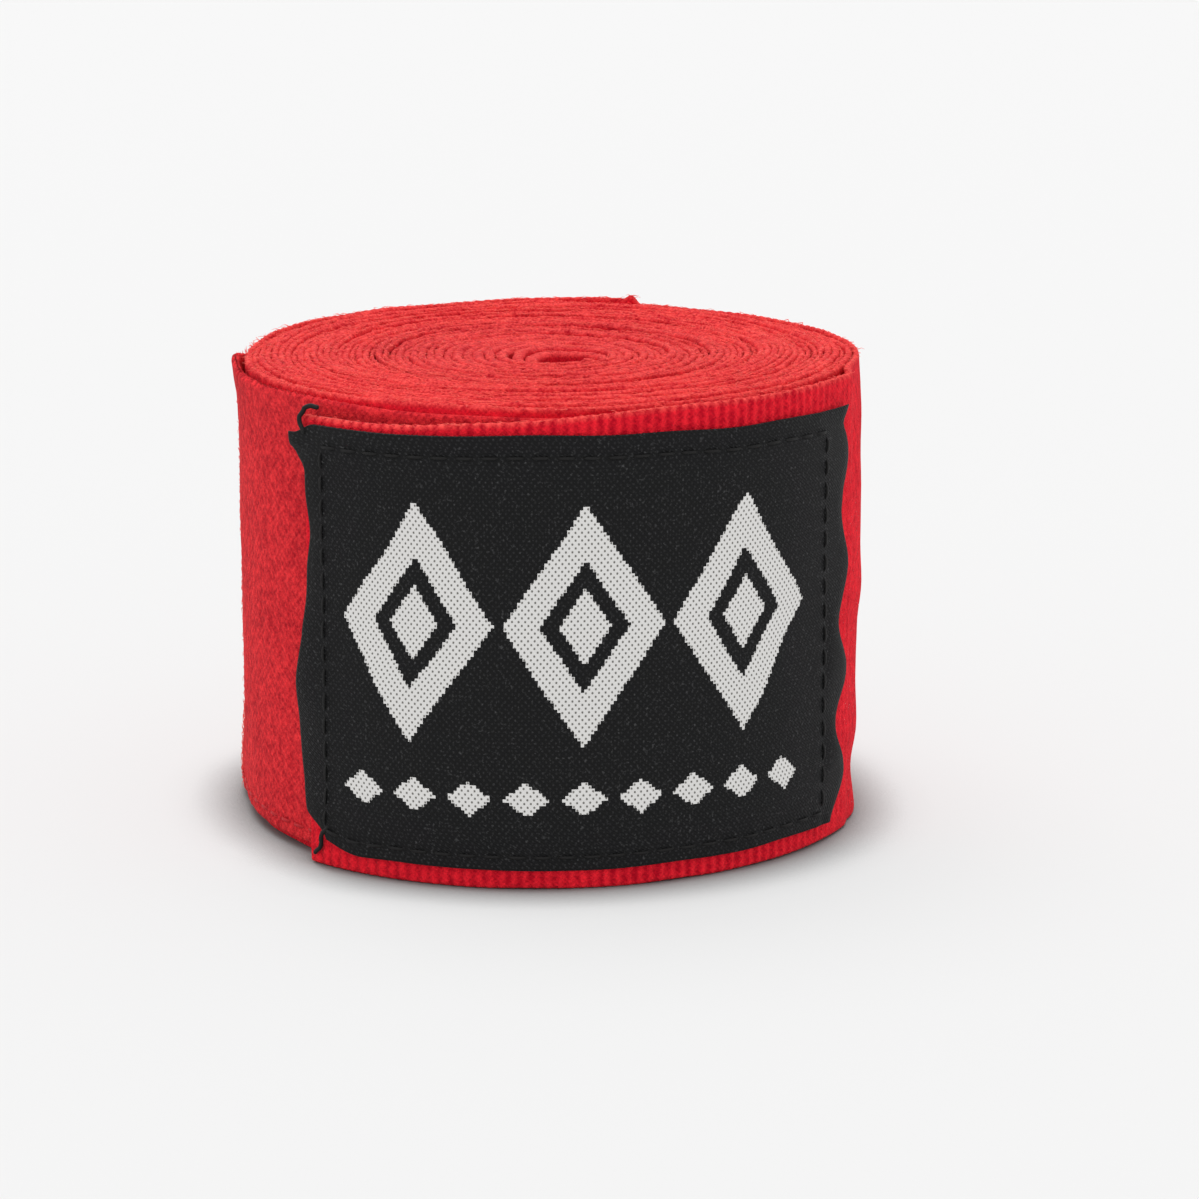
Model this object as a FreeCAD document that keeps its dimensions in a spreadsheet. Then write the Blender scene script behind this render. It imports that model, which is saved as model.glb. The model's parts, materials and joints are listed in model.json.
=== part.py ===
"""Hand wrap for boxing: a long 50 mm cotton band, rolled up and closed by its own end.

The band is wound from its inner end, where the thumb loop lies folded back between the first
turns, and ends in a flap. The flap's hook patch grips the loop patch sewn on the turn below it,
and a woven label covers the flap's outer face. The roll stands on its edge: +Z is the roll's
axis, the floor is Z 0, and the label faces -Y.

Seen from above, every turn is a line that goes round a small three-sided core: a bend round each
corner and a short straight along each side. The line is followed from the flap's free end
inwards, counter-clockwise, and its radius falls a little at each side, so that a whole turn comes
back exactly one pitch further in. Lengths are millimetres and angles are degrees.
"""
import FreeCAD, Part
import math
import os

OUT = "parts"

SIZES = [
    # the band
    ("band_width", 50.0, "woven width of the band, which is the roll's height"),
    ("band_thickness", 0.64, "thickness of the semi-elastic cotton band"),
    ("turn_gap", 0.06, "space between two turns of the wound band"),
    ("wound_turns", 35, "turns of plain band, outside the thumb loop"),
    ("loose_lift", 0.1, "extra space under the last turn, which nothing pulls tight"),
    # the core
    ("core_radius", 0.6, "radius of the innermost bends"),
    ("core_girth", 6.0, "length round the three-sided core"),
    ("core_slant", 65.0, "angle that the core's two long sides face, either side of +X"),
    ("core_turns", 3, "turns that the folded thumb loop spreads apart"),
    # the free end
    ("tip_angle", -136.0, "direction that the flap's free end faces"),
    ("sewn_gap", 0.03, "space between two layers that are sewn together"),
    ("grip_gap", 0.25, "space between the hooks and the loops"),
    ("bend_radius", 6.0, "bend of the band as it comes off the patches' ends"),
    ("bend_margin", 2.0, "plain band between the flap's hinge line and that bend"),
    ("hinge_margin", 3.0, "plain band between the label's end and the flap's hinge line"),
    ("hinge_cut", 0.1, "width of the cut where two stretches of band hinge"),
    ("patch_margin", 12.0, "plain band between the loop patch's first end and the roll's hinge line"),
    # the patches
    ("hook_height", 46.0, "height of the hook patch"),
    ("hook_thickness", 0.9, "thickness of the hook patch with its hooks"),
    ("hook_inset", 1.5, "distance of the hook patch's ends from the label's ends"),
    ("loop_length", 105.0, "length of the loop patch"),
    ("loop_height", 48.0, "height of the loop patch"),
    ("loop_thickness", 1.0, "thickness of the loop patch with its pile"),
    # the label
    ("label_length", 69.0, "length of the woven label"),
    ("label_height", 45.6, "height of the woven label"),
    ("label_thickness", 0.3, "thickness of the woven label"),
    # the thumb loop
    ("tape_width", 20.0, "width of the thumb loop's tape"),
    ("tape_thickness", 0.6, "thickness of the thumb loop's tape"),
    ("tape_slit", 0.06, "space inside the flattened thumb loop"),
    ("tack_room", 0.16, "space over the thumb loop for its bar tacks"),
    ("loop_reach", 46.0, "length of the flattened thumb loop"),
    # the sewing
    ("stitch_pitch", 2.5, "distance from one stitch to the next"),
    ("stitch_span", 2.0, "visible length of one stitch"),
    ("thread_width", 0.35, "width of a stitch"),
    ("thread_thickness", 0.12, "height of a stitch above the cloth"),
    ("top_seam_inset", 2.3, "distance of the label's top seam from its edge"),
    ("bottom_seam_inset", 1.5, "distance of the label's bottom seam from its edge"),
    ("side_seam_inset", 3.4, "distance of the label's side seams from its ends"),
    ("patch_seam_inset", 1.6, "distance of the loop patch's seams from its edges"),
    ("tack_rows", 3, "bar tacks across the thumb loop's tape"),
    ("tack_spacing", 4.0, "distance between two bar tacks"),
    ("tail_diameter", 0.4, "diameter of a loose thread end"),
    ("tail_inset", 0.9, "distance of the thread ends from the label's end"),
    ("tail_overlap", 2.4, "length of a thread end that lies on the label"),
    ("tail_fold", 1.6, "length of the top thread end that lies over the band's edge"),
    ("tail_bend", 0.6, "radius of the top thread end's bend over the band's edge"),
    ("tail_clearance", 0.02, "space between a thread end and the cloth"),
]

document = FreeCAD.newDocument("hand_wrap")
sheet = document.addObject("Spreadsheet::Sheet", "sizes")
for row, (alias, value, meaning) in enumerate(SIZES, 1):
    sheet.set(f"A{row}", alias)
    sheet.set(f"B{row}", str(value))
    sheet.set(f"C{row}", meaning)
    sheet.setAlias(f"B{row}", alias)
document.recompute()
size = {alias: float(sheet.get(alias)) for alias, _, _ in SIZES}

FULL_TURN = 360.0
PITCH = size["band_thickness"] + size["turn_gap"]
LOOP_STACK = 2 * size["tape_thickness"] + size["tape_slit"]
CORE_PITCH = PITCH + size["sewn_gap"] + LOOP_STACK + size["tack_room"]
# how far the patches lift the flap above the place that it has in a plain roll
PATCH_STACK = (
    size["loop_thickness"] + size["grip_gap"] + size["hook_thickness"] + 2 * size["sewn_gap"]
)
FLAP_LIFT = PATCH_STACK - size["turn_gap"]
FLAP_LENGTH = size["label_length"] + size["hinge_margin"]


def facing(angle):
    """The unit vector that faces this way, counter-clockwise from +X."""
    return FreeCAD.Vector(math.cos(math.radians(angle)), math.sin(math.radians(angle)), 0)


class Bend:
    """An arc round a centre, counter-clockwise between two facing angles."""

    def __init__(self, centre, radius, start, stop):
        self.centre = centre
        self.radius = radius
        self.start = start
        self.stop = stop

    def length(self):
        return self.radius * math.radians(self.stop - self.start)

    def outward(self, part):
        return facing(self.start + part * (self.stop - self.start))

    def point(self, part):
        return self.centre + self.outward(part) * self.radius

    def moved_out(self, distance):
        return Bend(self.centre, self.radius + distance, self.start, self.stop)

    def between(self, first, last):
        span = self.stop - self.start
        return Bend(self.centre, self.radius, self.start + first * span, self.start + last * span)

    def edge(self):
        return Part.Arc(self.point(0), self.point(0.5), self.point(1)).toShape()


class Straight:
    """A line between two points, with the cloth's outer face to its right."""

    def __init__(self, start, stop, angle):
        self.start = start
        self.stop = stop
        self.angle = angle

    def length(self):
        return (self.stop - self.start).Length

    def outward(self, part):
        return facing(self.angle)

    def point(self, part):
        return self.start + (self.stop - self.start) * part

    def moved_out(self, distance):
        shift = facing(self.angle) * distance
        return Straight(self.start + shift, self.stop + shift, self.angle)

    def between(self, first, last):
        return Straight(self.point(first), self.point(last), self.angle)

    def edge(self):
        return Part.LineSegment(self.start, self.stop).toShape()


class Route:
    """A smooth line of bends and straights. A place on it is a run's number plus the part of that
    run, so one place names the same spot on the line and on any line beside it."""

    SHORTEST = 1e-6

    def __init__(self, runs):
        self.runs = runs

    def length(self):
        return sum(run.length() for run in self.runs)

    def split(self, place):
        number = min(int(place), len(self.runs) - 1)
        return self.runs[number], place - number

    def point(self, place):
        run, part = self.split(place)
        return run.point(part)

    def outward(self, place):
        run, part = self.split(place)
        return run.outward(part)

    def moved_out(self, distance):
        return Route([run.moved_out(distance) for run in self.runs])

    def place_after(self, distance, place=0.0):
        """The place that lies this distance along the line from another place."""
        number = int(place)
        remaining = distance + (place - number) * self.runs[number].length()
        while remaining < 0:
            number -= 1
            remaining += self.runs[number].length()
        while remaining > self.runs[number].length() and number < len(self.runs) - 1:
            remaining -= self.runs[number].length()
            number += 1
        return number + min(remaining / self.runs[number].length(), 1.0)

    def place_facing(self, angle):
        """The place where the line faces this way, counting whole turns from the free end."""
        for number, run in enumerate(self.runs):
            if isinstance(run, Bend) and run.start <= angle <= run.stop:
                return number + (angle - run.start) / (run.stop - run.start)
        raise ValueError(f"no bend faces {angle}")

    def between(self, first, last):
        runs = []
        for number in range(int(first), min(int(last), len(self.runs) - 1) + 1):
            start = max(first - number, 0.0)
            stop = min(last - number, 1.0)
            run = self.runs[number].between(start, stop)
            if run.length() > self.SHORTEST:
                runs.append(run)
        return Route(runs)


def plain_roll():
    """The inner face of the whole band as if no patch lifted its end, from the free end inwards."""
    slant = size["core_slant"]
    long_share = 1 / (2 + 2 * math.cos(math.radians(slant)))
    short_share = 1 - 2 * long_share
    sides = [(-slant, long_share), (slant, long_share), (FULL_TURN / 2, short_share)]
    turns = size["wound_turns"] + size["core_turns"]
    last_angle = size["tip_angle"] + turns * FULL_TURN
    loose_angle = size["tip_angle"] + size["wound_turns"] * FULL_TURN
    radius = (
        size["core_radius"] + size["core_turns"] * CORE_PITCH + size["wound_turns"] * PITCH
    )
    centre = FreeCAD.Vector(0, 0, 0)
    angle = size["tip_angle"]
    runs = []
    corner = 0
    while angle < last_angle:
        side_angle, share = sides[corner % len(sides)]
        side_angle += corner // len(sides) * FULL_TURN
        runs.append(Bend(centre, radius, angle, min(side_angle, last_angle)))
        angle = side_angle
        if angle < last_angle:
            drop = share * (PITCH if angle < loose_angle else CORE_PITCH)
            step = facing(side_angle + 90) * size["core_girth"] * share
            start = centre + facing(side_angle) * radius
            runs.append(Straight(start, start + step, side_angle))
            centre = centre + facing(side_angle) * drop + step
            radius -= drop
        corner += 1
    return Route(runs)


def loop_patch_ends(roll):
    """The two places on the plain roll where the loop patch ends: the last lies one turn below
    the flap's hinge line, and the first is the patch's length back from there."""
    flap_face = roll.moved_out(FLAP_LIFT + size["band_thickness"])
    run, part = flap_face.split(flap_face.place_after(FLAP_LENGTH))
    hinge_angle = run.start + part * (run.stop - run.start)
    patch_face = roll.moved_out(size["band_thickness"] + size["sewn_gap"])
    last = patch_face.place_facing(hinge_angle + FULL_TURN)
    return patch_face.place_after(-size["loop_length"], last), last


def last_turn(roll, roll_hinge):
    """The last turn's inner face: lifted over the patches, bent off their ends, straight down
    on to the roll, and round it to the roll's hinge line, beyond which the band is bound."""
    lifted = roll.moved_out(FLAP_LIFT)
    outer_face = lifted.moved_out(size["band_thickness"])
    bend_place = outer_face.place_after(FLAP_LENGTH + size["bend_margin"])
    run, part = lifted.split(bend_place)
    bend_angle = run.start + part * (run.stop - run.start)
    low_radius = run.radius - FLAP_LIFT + size["loose_lift"]
    bend_offset = run.radius - size["bend_radius"]
    turned = math.degrees(math.acos((low_radius - size["bend_radius"]) / bend_offset))
    landing_angle = bend_angle + turned
    bend_centre = run.centre + facing(bend_angle) * bend_offset
    bend = Bend(bend_centre, size["bend_radius"], bend_angle, landing_angle)
    bridge = Straight(bend.point(1), run.centre + facing(landing_angle) * low_radius, landing_angle)
    over_patches = lifted.between(0, bend_place)
    low = roll.moved_out(size["loose_lift"])
    landing = low.place_facing(landing_angle)
    return Route(over_patches.runs + [bend, bridge] + low.between(landing, roll_hinge).runs)


def strip(route, inner, outer, round_start=False):
    """The flat plan of a strip of cloth between two lines beside a route."""
    near = route.moved_out(inner)
    far = route.moved_out(outer)
    edges = [run.edge() for run in near.runs]
    near_end = near.runs[-1].point(1)
    far_end = far.runs[-1].point(1)
    edges.append(Part.LineSegment(near_end, far_end).toShape())
    edges.extend(run.edge() for run in reversed(far.runs))
    near_start = near.runs[0].point(0)
    far_start = far.runs[0].point(0)
    if round_start:
        middle = (near_start + far_start) / 2
        outward = route.runs[0].outward(0)
        back = outward.cross(FreeCAD.Vector(0, 0, 1)) * ((outer - inner) / 2)
        edges.append(Part.Arc(far_start, middle + back, near_start).toShape())
    else:
        edges.append(Part.LineSegment(far_start, near_start).toShape())
    return Part.Face(Part.Wire(Part.__sortEdges__(edges)))


def standing_piece(name, plan, height, low="0"):
    """A strip of cloth that stands on its edge: its plan, raised. Both texts are expressions
    over the sheet's names."""
    outline = document.addObject("Part::Feature", name + "_plan")
    outline.Shape = plan
    piece = document.addObject("Part::Extrusion", name)
    piece.Label = name
    piece.Base = outline
    piece.DirMode = "Custom"
    piece.Dir = FreeCAD.Vector(0, 0, 1)
    piece.Solid = True
    piece.setExpression("LengthFwd", height)
    piece.setExpression("Placement.Base.z", low)
    return piece


def centred(height):
    """The expression for the lower edge of a piece that stands midway up the band."""
    return f"(sizes.band_width - sizes.{height}) / 2"


def group(name, solids):
    """Like pieces that share one name, each a solid of its own."""
    piece = document.addObject("Part::Feature", name)
    piece.Label = name
    piece.Shape = Part.makeCompound(solids)
    return piece


def raised(route, inner, outer, low, high):
    """One solid strip beside a route, from one height to another."""
    solid = strip(route, inner, outer).extrude(FreeCAD.Vector(0, 0, high - low))
    solid.translate(FreeCAD.Vector(0, 0, low))
    return solid


def stitches_along(route, height, inner, outer):
    """A row of stitches at one height, evenly spread from end to end."""
    room = route.length() - size["stitch_span"]
    count = int(room / size["stitch_pitch"]) + 1
    spacing = room / (count - 1)
    half = size["thread_width"] / 2
    solids = []
    for number in range(count):
        start = route.place_after(number * spacing)
        stop = route.place_after(number * spacing + size["stitch_span"])
        solids.append(raised(route.between(start, stop), inner, outer, height - half, height + half))
    return solids


def stitches_up(route, distance, low, high, inner, outer):
    """A column of stitches at one distance along a route, evenly spread between two heights."""
    half = size["thread_width"] / 2
    start = route.place_after(distance - half)
    stop = route.place_after(distance + half)
    sliver = route.between(start, stop)
    room = high - low - size["stitch_span"]
    count = int(room / size["stitch_pitch"]) + 1
    spacing = room / (count - 1)
    return [
        raised(sliver, inner, outer, low + n * spacing, low + n * spacing + size["stitch_span"])
        for n in range(count)
    ]


def seam_round(route, inner, outer, low, high, inset, end_inset):
    """A lockstitched rectangle round a piece that follows a route from end to end: a row along
    its lower and upper edges, inset by their own distances, and a column at each end."""
    low_inset, high_inset = inset
    length = route.length()
    first = route.place_after(end_inset)
    last = route.place_after(length - end_inset)
    span = route.between(first, last)
    column_low = low + low_inset + size["thread_width"]
    column_high = high - high_inset - size["thread_width"]
    solids = stitches_along(span, low + low_inset, inner, outer)
    solids += stitches_along(span, high - high_inset, inner, outer)
    for distance in (end_inset, length - end_inset):
        solids += stitches_up(route, distance, column_low, column_high, inner, outer)
    return solids


def round_thread(path):
    """A thread of round section along a wire."""
    start = path.Edges[0].firstVertex().Point
    direction = path.Edges[0].tangentAt(path.Edges[0].FirstParameter)
    ring = Part.makeCircle(size["tail_diameter"] / 2, start, direction)
    return path.makePipeShell([Part.Wire(ring)], True, True)


# The band, in three stretches that hinge on each other: the roll, the last turn and the flap.
band = size["band_thickness"]
roll = plain_roll()
loop_first, loop_last = loop_patch_ends(roll)
roll_hinge = roll.moved_out(band).place_after(-size["patch_margin"], loop_first)
turn = last_turn(roll, roll_hinge)
outer_face = turn.moved_out(band)
flap_hinge = outer_face.place_after(FLAP_LENGTH)
half_cut = size["hinge_cut"] / 2
turn_end = float(len(turn.runs))
flap_stop = outer_face.place_after(-half_cut, flap_hinge)
turn_start = outer_face.place_after(half_cut, flap_hinge)
turn_stop = outer_face.place_after(-half_cut, turn_end - Route.SHORTEST)
roll_start = roll.moved_out(band).place_after(half_cut, roll_hinge)
roll_stop = float(len(roll.runs))

roll_route = roll.between(roll_start, roll_stop)
turn_route = turn.between(turn_start, turn_stop)
flap_route = turn.between(0, flap_stop)
band_roll = standing_piece("band_roll", strip(roll_route, 0, band), "sizes.band_width")
band_last_turn = standing_piece("band_last_turn", strip(turn_route, 0, band), "sizes.band_width")
band_flap = standing_piece("band_flap", strip(flap_route, 0, band), "sizes.band_width")

# The loop patch lies on the turn below the flap, and runs past the flap's free end, so that its
# first stretch stays in sight.
sewn = size["sewn_gap"]
loop_inner = band + sewn
loop_outer = loop_inner + size["loop_thickness"]
loop_route = roll.between(loop_first, loop_last)
loop_plan = strip(loop_route, loop_inner, loop_outer)
standing_piece("loop_patch", loop_plan, "sizes.loop_height", centred("loop_height"))

# The hook patch is sewn inside the flap.
hook_outer = -sewn
hook_inner = hook_outer - size["hook_thickness"]
hook_line = turn.moved_out(hook_outer)
label_last = outer_face.place_after(size["label_length"])
hook_first = hook_line.place_after(size["hook_inset"])
hook_last = hook_line.place_after(-size["hook_inset"], label_last)
hook_plan = strip(turn.between(hook_first, hook_last), hook_inner, hook_outer)
standing_piece("hook_patch", hook_plan, "sizes.hook_height", centred("hook_height"))

# The woven label covers the flap's outer face from its free end.
label_inner = band + sewn
label_outer = label_inner + size["label_thickness"]
label_route = turn.between(0, label_last)
label_plan = strip(label_route, label_inner, label_outer)
standing_piece("woven_label", label_plan, "sizes.label_height", centred("label_height"))

# The thumb loop is a tape folded in two. Both its ends are sewn to the band's inner end, and it
# lies folded back along the band's outer face.
tape_inner = band + sewn
tape_middle = tape_inner + size["tape_thickness"]
tape_upper = tape_middle + size["tape_slit"]
tape_outer = tape_upper + size["tape_thickness"]
tape_line = roll.moved_out(tape_inner)
tape_last = roll_stop
tape_first = tape_line.place_after(-size["loop_reach"], tape_last - Route.SHORTEST)
slit_first = tape_line.place_after(size["tape_thickness"], tape_first)
tape_route = roll.between(tape_first, tape_last)
tape_plan = strip(tape_route, tape_inner, tape_outer, round_start=True)
slit_plan = strip(roll.between(slit_first, tape_last), tape_middle, tape_upper)
tape = standing_piece("tape", tape_plan, "sizes.tape_width", centred("tape_width"))
slit = standing_piece("tape_slit", slit_plan, "sizes.tape_width", centred("tape_width"))
thumb_loop = document.addObject("Part::Cut", "thumb_loop")
thumb_loop.Label = "thumb_loop"
thumb_loop.Base = tape
thumb_loop.Tool = slit

# The sewing. Each stitch is a short float of thread on the cloth's face.
thread = size["thread_thickness"]
label_low = (size["band_width"] - size["label_height"]) / 2
label_high = label_low + size["label_height"]
label_face = label_route.moved_out(label_outer)
label_insets = (size["bottom_seam_inset"], size["top_seam_inset"])
label_seam = seam_round(
    label_face, 0, thread, label_low, label_high, label_insets, size["side_seam_inset"]
)
group("label_stitching", label_seam)

loop_low = (size["band_width"] - size["loop_height"]) / 2
loop_high = loop_low + size["loop_height"]
loop_face = loop_route.moved_out(loop_outer)
loop_insets = (size["patch_seam_inset"], size["patch_seam_inset"])
loop_seam = seam_round(
    loop_face, 0, thread, loop_low, loop_high, loop_insets, size["patch_seam_inset"]
)
group("loop_patch_stitching", loop_seam)

tape_low = (size["band_width"] - size["tape_width"]) / 2
tape_high = tape_low + size["tape_width"]
tape_face = tape_route.moved_out(tape_outer)
tape_length = tape_face.length()
tacks = []
for row in range(int(size["tack_rows"])):
    distance = tape_length - size["patch_seam_inset"] - row * size["tack_spacing"]
    tacks += stitches_up(tape_face, distance, tape_low, tape_high, 0, thread)
group("thumb_loop_stitching", tacks)

# The two loose thread ends at the label's free end: one goes up and over the band's upper edge,
# and the other goes down the flap.
tail_radius = size["tail_diameter"] / 2
tail_line = turn.moved_out(label_outer + thread + size["tail_clearance"] + tail_radius)
tail_place = tail_line.place_after(size["tail_inset"])
tail_foot = tail_line.point(tail_place)
inward = tail_line.outward(tail_place) * -1
up = FreeCAD.Vector(0, 0, 1)
bend = size["tail_bend"]
over_edge = size["band_width"] + size["tail_clearance"] + tail_radius
rise_end = tail_foot + up * (over_edge - bend)
bend_middle = rise_end + inward * (bend * (1 - math.sqrt(0.5))) + up * (bend * math.sqrt(0.5))
bend_end = rise_end + (inward + up) * bend
top_start = tail_foot + up * (label_high - size["tail_overlap"])
top_path = Part.Wire(
    [
        Part.LineSegment(top_start, rise_end).toShape(),
        Part.Arc(rise_end, bend_middle, bend_end).toShape(),
        Part.LineSegment(bend_end, bend_end + inward * size["tail_fold"]).toShape(),
    ]
)
group("thread_tail_top", [round_thread(top_path)])
bottom_start = tail_foot + up * (label_low + size["tail_overlap"])
bottom_path = Part.Wire(
    [Part.LineSegment(bottom_start, tail_foot + up * size["tail_diameter"]).toShape()]
)
group("thread_tail_bottom", [round_thread(bottom_path)])

NODES = [
    "band_roll",
    "band_last_turn",
    "band_flap",
    "loop_patch",
    "hook_patch",
    "woven_label",
    "thumb_loop",
    "label_stitching",
    "loop_patch_stitching",
    "thumb_loop_stitching",
    "thread_tail_top",
    "thread_tail_bottom",
]

# The origin is on the floor, under the middle of the whole roll.
document.recompute()
pieces = {name: document.getObject(name) for name in NODES}
whole = FreeCAD.BoundBox()
for piece in pieces.values():
    whole.add(piece.Shape.optimalBoundingBox(False))
to_middle = FreeCAD.Vector(-whole.Center.x, -whole.Center.y, 0)
for name in NODES + ["tape", "tape_slit"]:
    if name != "thumb_loop":
        piece = document.getObject(name)
        piece.Placement.Base = piece.Placement.Base + to_middle
document.recompute()

for item in document.Objects:
    if {"Invalid", "Error"} & set(item.State):
        raise RuntimeError(f"{item.Name} failed: {item.State}")
for name, piece in pieces.items():
    if piece.Shape.isNull() or not piece.Shape.isValid():
        raise RuntimeError(f"{name} has no valid shape")

os.makedirs(OUT, exist_ok=True)
for name, piece in pieces.items():
    piece.Shape.exportStep(os.path.join(OUT, name + ".step"))
    box = piece.Shape.BoundBox
    print(name, len(piece.Shape.Solids), "solids", round(piece.Shape.Volume, 2), "mm3", box)

flap_axis = outer_face.point(flap_hinge) + to_middle
roll_axis = turn.moved_out(band).point(turn_end - Route.SHORTEST) + to_middle
band_length = roll_route.length() + turn_route.length() + flap_route.length()
print("band length", round(band_length, 1))
print("hook patch length", round(hook_line.between(hook_first, hook_last).length(), 1))
print("flap hinge at", flap_axis)
print("roll hinge at", roll_axis)
print("rest point", roll.moved_out(band / 2).point(roll_start + 6) + to_middle)
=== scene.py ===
"""Hand wrap for boxing: a rolled cotton band with its loop and hook patches, woven label, thumb
loop and sewing. Every shape is worked out in millimetres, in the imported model's own frame."""
import json
import math
import bpy
import numpy as np
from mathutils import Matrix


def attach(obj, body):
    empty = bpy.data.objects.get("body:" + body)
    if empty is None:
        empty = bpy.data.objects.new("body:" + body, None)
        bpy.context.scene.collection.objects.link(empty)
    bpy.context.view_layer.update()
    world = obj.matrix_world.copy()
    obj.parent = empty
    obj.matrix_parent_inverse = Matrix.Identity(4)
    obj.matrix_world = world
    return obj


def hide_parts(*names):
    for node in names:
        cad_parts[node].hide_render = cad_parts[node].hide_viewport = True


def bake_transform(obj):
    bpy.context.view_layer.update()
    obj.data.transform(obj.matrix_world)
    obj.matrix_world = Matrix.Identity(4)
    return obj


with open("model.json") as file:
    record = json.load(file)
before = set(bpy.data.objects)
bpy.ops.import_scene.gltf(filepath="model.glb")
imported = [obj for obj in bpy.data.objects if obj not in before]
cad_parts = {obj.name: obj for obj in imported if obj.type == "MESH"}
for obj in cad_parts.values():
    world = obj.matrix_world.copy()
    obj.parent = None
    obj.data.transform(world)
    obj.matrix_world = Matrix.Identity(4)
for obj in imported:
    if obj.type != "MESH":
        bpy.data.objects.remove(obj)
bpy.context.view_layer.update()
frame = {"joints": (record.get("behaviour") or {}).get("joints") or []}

# ---- The line that the band is wound on
# Seen from above, every turn goes round a small three-sided core: a bend round each corner and a
# short straight along each side, followed from the flap's free end inwards, counter-clockwise.
MM = 0.001
BAND_THICKNESS = 0.64
PITCH = 0.70
CORE_PITCH = 2.15
WOUND_TURNS = 35
CORE_TURNS = 3
CORE_RADIUS = 0.6
CORE_GIRTH = 6.0
CORE_SLANT = 65.0
TIP_ANGLE = -136.0
FLAP_LIFT = 2.15
LOOSE_LIFT = 0.1
FLAP_LENGTH = 72.0
RUNS_PER_TURN = 6


def facing(degrees):
    """The unit vectors that face these ways, counter-clockwise from +X."""
    return np.stack([np.cos(np.radians(degrees)), np.sin(np.radians(degrees))], -1)


def wound_line():
    """The line's runs, one row each: centre x and y, radius, facing angle, turn, step x and y.
    A bend turns about its centre and has no step; a straight steps along a side of the core and
    has no turn. The radius falls a little at each side, so that a turn comes back one pitch in."""
    turns = WOUND_TURNS + CORE_TURNS
    long_share = 1 / (2 + 2 * math.cos(math.radians(CORE_SLANT)))
    share = np.tile([long_share, long_share, 1 - 2 * long_share], turns)
    side = (np.array([-CORE_SLANT, CORE_SLANT, 180.0]) + 360 * np.arange(turns)[:, None]).ravel()
    pitch = np.where(side < TIP_ANGLE + WOUND_TURNS * 360, PITCH, CORE_PITCH)
    drop = (share * pitch)[:, None]
    step = facing(side + 90) * CORE_GIRTH * share[:, None]
    outer_radius = CORE_RADIUS + CORE_TURNS * CORE_PITCH + WOUND_TURNS * PITCH
    centre = np.vstack([[[0, 0]], np.cumsum(facing(side) * drop + step, axis=0)])
    radius = outer_radius - np.concatenate([[0], np.cumsum(drop)])
    start = np.concatenate([[TIP_ANGLE], side])
    stop = np.concatenate([side, [TIP_ANGLE + turns * 360]])
    runs = np.zeros((2 * len(side) + 1, 7))
    runs[0::2] = np.column_stack([centre, radius, start, stop - start, np.zeros((len(start), 2))])
    runs[1::2] = np.column_stack([centre[:-1], radius[:-1], side, np.zeros(len(side)), step])
    return runs


RUNS = wound_line()


def reach(out):
    """The distance along the line, moved out this far, at which each run starts."""
    lengths = (RUNS[:, 2] + out) * np.radians(RUNS[:, 4]) + np.hypot(RUNS[:, 5], RUNS[:, 6])
    return np.concatenate([[0], np.cumsum(lengths)])


def distance_at(place, out):
    """How far along the line, moved out this far, a place is. A place is a run's number plus the
    part of that run, so it names one spot on the line and on every line beside it."""
    return np.interp(place, np.arange(len(RUNS) + 1), reach(out))


def place_at(distance, out):
    """The place that lies this distance along the line, moved out this far."""
    return np.interp(distance, reach(out), np.arange(len(RUNS) + 1))


def spaced(first, last, step, out):
    """Places between two, evenly spaced along the line, about one step apart."""
    start, stop = distance_at(first, out), distance_at(last, out)
    return place_at(np.linspace(start, stop, int((stop - start) / step) + 2), out)


def outward(place):
    """The direction that the line faces at a place."""
    run = np.clip(np.asarray(place).astype(int), 0, len(RUNS) - 1)
    return facing(RUNS[run, 3] + (place - run) * RUNS[run, 4])


def spot(place, out):
    """A place's x and y on the line moved out this far: the run's centre, plus the radius and
    the distance along the facing direction, plus the run's part of its step."""
    run = np.clip(np.asarray(place).astype(int), 0, len(RUNS) - 1)
    spoke = (RUNS[run, 2] + out)[..., None] * outward(place)
    return RUNS[run, :2] + spoke + (place - run)[..., None] * RUNS[run, 5:7] + to_middle


joint_places = {joint["name"]: np.array(joint["pos_m"][:2]) / MM for joint in frame["joints"]}
FLAP_HINGE = place_at(FLAP_LENGTH, FLAP_LIFT + BAND_THICKNESS)
LAST_PLACE = float(len(RUNS))
to_middle = np.zeros(2)
to_middle = joint_places["flap_peel"] - spot(FLAP_HINGE, FLAP_LIFT + BAND_THICKNESS)


# ---- The wound band
# One strip of semi-elastic cotton, 50 mm wide and about 4.5 m long, woven with firm selvedges and
# wound on itself. It is wound tight outside and looser round the thumb loop at the core, where
# the upper edges lean in and leave a small hole. The roll stands on its lower selvedge.
BAND_WIDTH = 50.0
SELVEDGE = 0.42
RIB_PITCH = 1.2
EASED_TURNS = 20.0
EASED_PITCH = 0.6
CORE_LEAN = np.array([2.2, -2.85])
TAPE_TOP = 35.0
LEAN_HEIGHT = 12.0
SEAM_PLACE = 3.3
BOUND_PLACE = 6.5


def smooth(x):
    """0 below 0, 1 above 1, and an even S-shaped rise between."""
    x = np.clip(x, 0, 1)
    return x * x * (3 - 2 * x)


def drift(seed, across, up=0.0):
    """Soft random heights from -1 to 1: a random height at each whole step of a field, joined
    by S-shaped rises in both directions."""
    wide, tall = 509, 127
    heights = np.random.default_rng(seed).uniform(-1, 1, (wide, tall))
    across, up = np.broadcast_arrays(across, up)
    column, row = np.floor(across).astype(int), np.floor(up).astype(int)
    part, rise = smooth(across - column), smooth(up - row)
    left, right = (
        heights[side % wide, row % tall] * (1 - rise) + heights[side % wide, (row + 1) % tall] * rise
        for side in (column, column + 1)
    )
    return left * (1 - part) + right * part


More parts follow.
